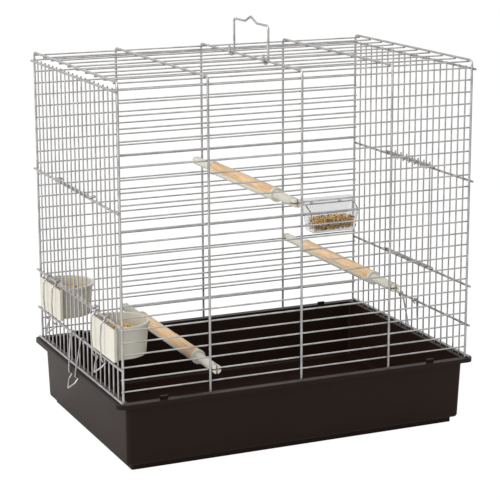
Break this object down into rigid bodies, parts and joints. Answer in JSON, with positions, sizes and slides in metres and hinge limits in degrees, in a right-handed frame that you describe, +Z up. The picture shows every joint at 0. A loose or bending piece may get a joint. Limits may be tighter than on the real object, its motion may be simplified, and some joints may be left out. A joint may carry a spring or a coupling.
{
  "type": "bird cage",
  "caption": "Rectangular wire bird cage on a deep plastic tray, with sliding end doors, perches, hung seed bowls, a clear feeder and a folding carrying handle",
  "frame": {"origin": "middle of the tray's underside, on the surface it stands on", "axes": "+X along the cage to its right end, -Y to the front, +Z up"},
  "size_m": [0.4026, 0.2648, 0.4182],
  "materials": {
    "tray_plastic": "satin",
    "wire": "satin",
    "bowl_plastic": "satin",
    "perch_wood": "matte",
    "perch_plastic": "satin",
    "clear_plastic": "clear",
    "seed": "matte"
  },
  "bodies": {
    "root": {"base_tray": "tray_plastic", "centre_hoop": "wire", "front_bowl": "bowl_plastic", "front_bowl_seed": "seed", "front_wires": "wire", "left_bottom_bar": "wire", "left_end_hoop": "wire", "left_end_wires": "wire", "left_latch_bar": "wire", "left_middle_bar": "wire", "left_middle_hoop": "wire", "left_sill_bar": "wire", "left_top_bar": "wire", "low_perch_carrier": "perch_plastic", "low_perch_sleeve": "perch_plastic", "low_perch_wood": "perch_wood", "middle_perch_carrier": "perch_plastic", "middle_perch_sleeve": "perch_plastic", "middle_perch_wood": "perch_wood", "rear_bowl": "bowl_plastic", "rear_bowl_seed": "seed", "rear_wires": "wire", "right_bottom_bar": "wire", "right_end_hoop": "wire", "right_end_wires": "wire", "right_latch_bar": "wire", "right_middle_bar": "wire", "right_middle_hoop": "wire", "right_sill_bar": "wire", "right_top_bar": "wire", "top_wires": "wire", "upper_perch_carrier": "perch_plastic", "upper_perch_sleeve": "perch_plastic", "upper_perch_wood": "perch_wood"},
    "left_door": {"left_door_rails": "wire", "left_door_wires": "wire"},
    "right_door": {"right_door_rails": "wire", "right_door_wires": "wire"},
    "handle": {"carrying_handle": "wire"},
    "left_latch": {"left_tray_latch": "wire"},
    "right_latch": {"right_tray_latch": "wire"},
    "front_clip": {"front_bowl_clip": "wire"},
    "rear_clip": {"rear_bowl_clip": "wire"},
    "feeder": {"feeder_box": "clear_plastic", "feeder_seed": "seed"}
  },
  "joints": [
    {"name": "handle_swing", "type": "hinge", "parent": "root", "child": "handle", "pos_m": [0, 0, 0.3772], "axis": [0, 1, 0], "range_deg": [-85, 85]},
    {"name": "left_door_slide", "type": "slide", "parent": "root", "child": "left_door", "axis": [0, 0, 1], "range_m": [0, 0.104]},
    {"name": "right_door_slide", "type": "slide", "parent": "root", "child": "right_door", "axis": [0, 0, 1], "range_m": [0, 0.104]},
    {"name": "left_latch_swing", "type": "hinge", "parent": "root", "child": "left_latch", "pos_m": [-0.18915, 0, 0.1047], "axis": [0, 1, 0], "range_deg": [0, 120]},
    {"name": "right_latch_swing", "type": "hinge", "parent": "root", "child": "right_latch", "pos_m": [0.18915, 0, 0.1047], "axis": [0, -1, 0], "range_deg": [0, 120]},
    {"name": "front_clip_swing", "type": "hinge", "parent": "root", "child": "front_clip", "pos_m": [-0.18915, -0.0756, 0.146], "axis": [0, 1, 0], "range_deg": [0, 150]},
    {"name": "rear_clip_swing", "type": "hinge", "parent": "root", "child": "rear_clip", "pos_m": [-0.18915, 0.0756, 0.146], "axis": [0, 1, 0], "range_deg": [0, 150]},
    {"name": "feeder_lift", "type": "slide", "parent": "root", "child": "feeder", "axis": [0, 0, 1], "range_m": [0, 0.008]}
  ]
}
